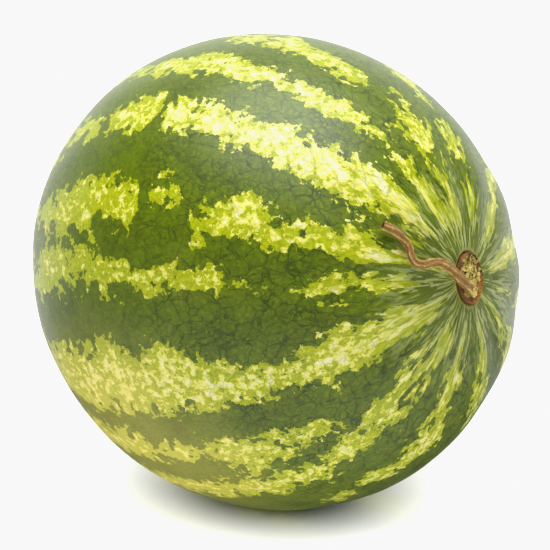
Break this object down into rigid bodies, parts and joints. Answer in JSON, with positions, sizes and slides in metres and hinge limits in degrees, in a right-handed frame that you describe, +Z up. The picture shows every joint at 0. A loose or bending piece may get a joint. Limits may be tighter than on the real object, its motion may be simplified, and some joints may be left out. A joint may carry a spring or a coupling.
{
  "type": "watermelon",
  "caption": "Whole round-oval striped watermelon lying on its side, with a corky stem scar and a thin dried curly stem.",
  "frame": {"origin": "the centre of the small flat spot on the rind that the watermelon rests on", "axes": "+Z up; +X level, towards the stem end, whose axis also rises 9.4 degrees from level; +Y to the left of it"},
  "size_m": [0.271, 0.238, 0.2485],
  "materials": {
    "rind": "satin",
    "cork": "matte",
    "stem": "matte"
  },
  "bodies": {
    "root": {"melon": "rind", "stem_scar": "cork", "dried_stem": "stem"}
  },
  "joints": []
}
